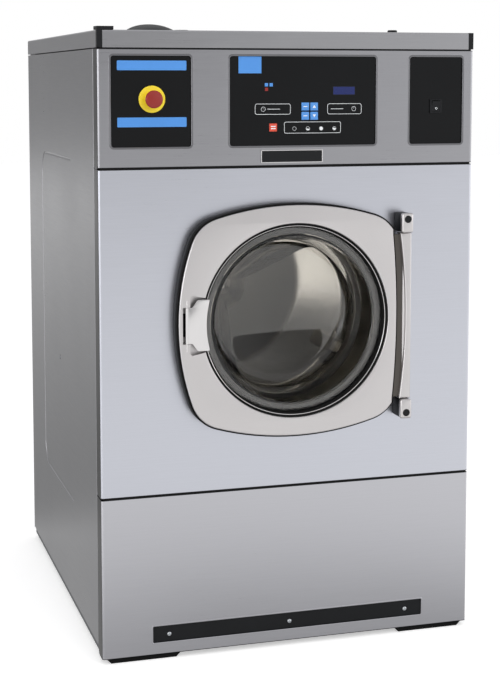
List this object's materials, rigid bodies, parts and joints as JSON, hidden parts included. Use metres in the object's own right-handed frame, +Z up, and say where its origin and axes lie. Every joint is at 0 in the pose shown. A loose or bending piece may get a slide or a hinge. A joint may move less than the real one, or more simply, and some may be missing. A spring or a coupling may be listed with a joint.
{
  "type": "hard mount washer extractor",
  "caption": "Commercial front-loading washer extractor with a hinged glass bowl door, pull handle, control fascia, emergency stop and hard-mounted drum on a floor frame.",
  "frame": {"origin": "middle of the footprint on the floor", "axes": "+Z up, +Y from the front of the machine to its rear, +X to the right as seen from the front"},
  "size_m": [0.884, 1.119, 1.4426],
  "materials": {
    "satin_steel": "satin brushed stainless sheet",
    "pale_steel": "fine satin stainless sheet",
    "cast_aluminium": "satin cast and coated",
    "polished_steel": "polished",
    "stainless_steel": "bright rolled stainless",
    "painted_steel": "satin grey paint",
    "cast_iron": "as cast, machined faces",
    "black_plastic": "fine texture",
    "black_rubber": "matte",
    "blue_plastic": "satin key cap",
    "red_plastic": "moulded",
    "yellow_plastic": "moulded",
    "display_glass": "smooth tinted",
    "clear_glass": "pressed bowl glass"
  },
  "bodies": {
    "cabinet": {"base_rail_left": "painted_steel", "base_rail_right": "painted_steel", "floor_pad_front_left": "black_rubber", "floor_pad_front_right": "black_rubber", "floor_pad_rear_left": "black_rubber", "floor_pad_rear_right": "black_rubber", "front_cradle": "painted_steel", "rear_cradle": "painted_steel", "motor_bracket": "painted_steel", "motor": "painted_steel", "lower_front_panel": "satin_steel", "kick_plate": "black_plastic", "door_panel": "pale_steel", "control_fascia": "satin_steel", "stop_plate": "black_plastic", "control_plate": "black_plastic", "switch_plate": "black_plastic", "display_window": "display_glass", "badge_plate": "black_plastic", "control_box": "painted_steel", "stop_ring": "yellow_plastic", "rocker_bezel": "black_plastic", "left_side_panel": "satin_steel", "right_side_panel": "satin_steel", "rear_panel": "satin_steel", "top_panel": "satin_steel", "lid_corner_left": "black_plastic", "lid_corner_right": "black_plastic", "hopper_box": "black_plastic", "tub_shell": "stainless_steel", "tub_front": "stainless_steel", "door_gasket": "black_rubber", "bearing_housing": "cast_iron", "front_bearing": "polished_steel", "rear_bearing": "polished_steel", "drive_belt": "black_rubber", "door_lock": "painted_steel", "upper_hinge_lug": "cast_aluminium", "lower_hinge_lug": "cast_aluminium", "drain_valve": "black_plastic", "inlet_valve": "black_plastic", "power_gland": "black_plastic"},
    "door": {"door_frame": "cast_aluminium", "door_glass": "clear_glass", "glass_clamp": "black_plastic", "hinge_bar": "cast_aluminium"},
    "handle": {"door_handle": "polished_steel"},
    "drum": {"drum_shell": "stainless_steel", "drum_spider": "cast_iron", "drum_pulley": "cast_iron"},
    "motor_drive": {"motor_pulley": "cast_iron"},
    "stop_plunger": {"stop_stem": "black_plastic"},
    "stop_mushroom": {"stop_button": "red_plastic"},
    "program_up": {"program_up_key": "blue_plastic"},
    "value_up": {"value_up_key": "blue_plastic"},
    "program_down": {"program_down_key": "blue_plastic"},
    "value_down": {"value_down_key": "blue_plastic"},
    "cycle_stop": {"cycle_stop_key": "red_plastic"},
    "rocker": {"power_rocker": "black_plastic"},
    "supply_lid": {"hopper_lid": "black_plastic"}
  },
  "joints": [
    {"name": "door_swing", "type": "hinge", "parent": "cabinet", "child": "door", "pos_m": [0.262, -0.5375, 0.765], "axis": [0, 0, 1], "range_deg": [0, 170]},
    {"name": "handle_pull", "type": "hinge", "parent": "door", "child": "handle", "pos_m": [-0.2545, -0.547, 0.765], "axis": [0, 0, -1], "range_deg": [0, 20], "stiffness_Nm_per_rad": 1.5, "springref_deg": -5.73},
    {"name": "drum_spin", "type": "hinge", "parent": "cabinet", "child": "drum", "pos_m": [0, 0, 0.765], "axis": [0, 1, 0], "continuous": true},
    {"name": "motor_spin", "type": "hinge", "parent": "cabinet", "child": "motor_drive", "pos_m": [0.2, 0, 0.215], "axis": [0, 1, 0], "continuous": true},
    {"name": "stop_push", "type": "slide", "parent": "cabinet", "child": "stop_plunger", "axis": [0, 1, 0], "range_m": [0, 0.004]},
    {"name": "stop_twist", "type": "hinge", "parent": "stop_plunger", "child": "stop_mushroom", "pos_m": [-0.32104, -0.527, 1.26208], "axis": [0, 1, 0], "range_deg": [0, 40], "stiffness_Nm_per_rad": 0.2, "springref_deg": -5.73},
    {"name": "rocker_tilt", "type": "hinge", "parent": "cabinet", "child": "rocker", "pos_m": [0.34965, -0.5055, 1.24391], "axis": [-1, 0, 0], "range_deg": [0, 16]},
    {"name": "supply_lid_swing", "type": "hinge", "parent": "cabinet", "child": "supply_lid", "pos_m": [-0.214, 0.094, 1.4218], "axis": [-1, 0, 0], "range_deg": [0, 100]},
    {"name": "program_up_press", "type": "slide", "parent": "cabinet", "child": "program_up", "axis": [0, 1, 0], "range_m": [0, 0.0008], "stiffness_N_per_m": 400, "springref_m": -0.0005},
    {"name": "value_up_press", "type": "slide", "parent": "cabinet", "child": "value_up", "axis": [0, 1, 0], "range_m": [0, 0.0008], "stiffness_N_per_m": 400, "springref_m": -0.0005},
    {"name": "program_down_press", "type": "slide", "parent": "cabinet", "child": "program_down", "axis": [0, 1, 0], "range_m": [0, 0.0008], "stiffness_N_per_m": 400, "springref_m": -0.0005},
    {"name": "value_down_press", "type": "slide", "parent": "cabinet", "child": "value_down", "axis": [0, 1, 0], "range_m": [0, 0.0008], "stiffness_N_per_m": 400, "springref_m": -0.0005},
    {"name": "cycle_stop_press", "type": "slide", "parent": "cabinet", "child": "cycle_stop", "axis": [0, 1, 0], "range_m": [0, 0.0008], "stiffness_N_per_m": 400, "springref_m": -0.0005}
  ],
  "couplings": [
    {"joint": "motor_spin", "follows": "drum_spin", "ratio": 5.3333}
  ]
}
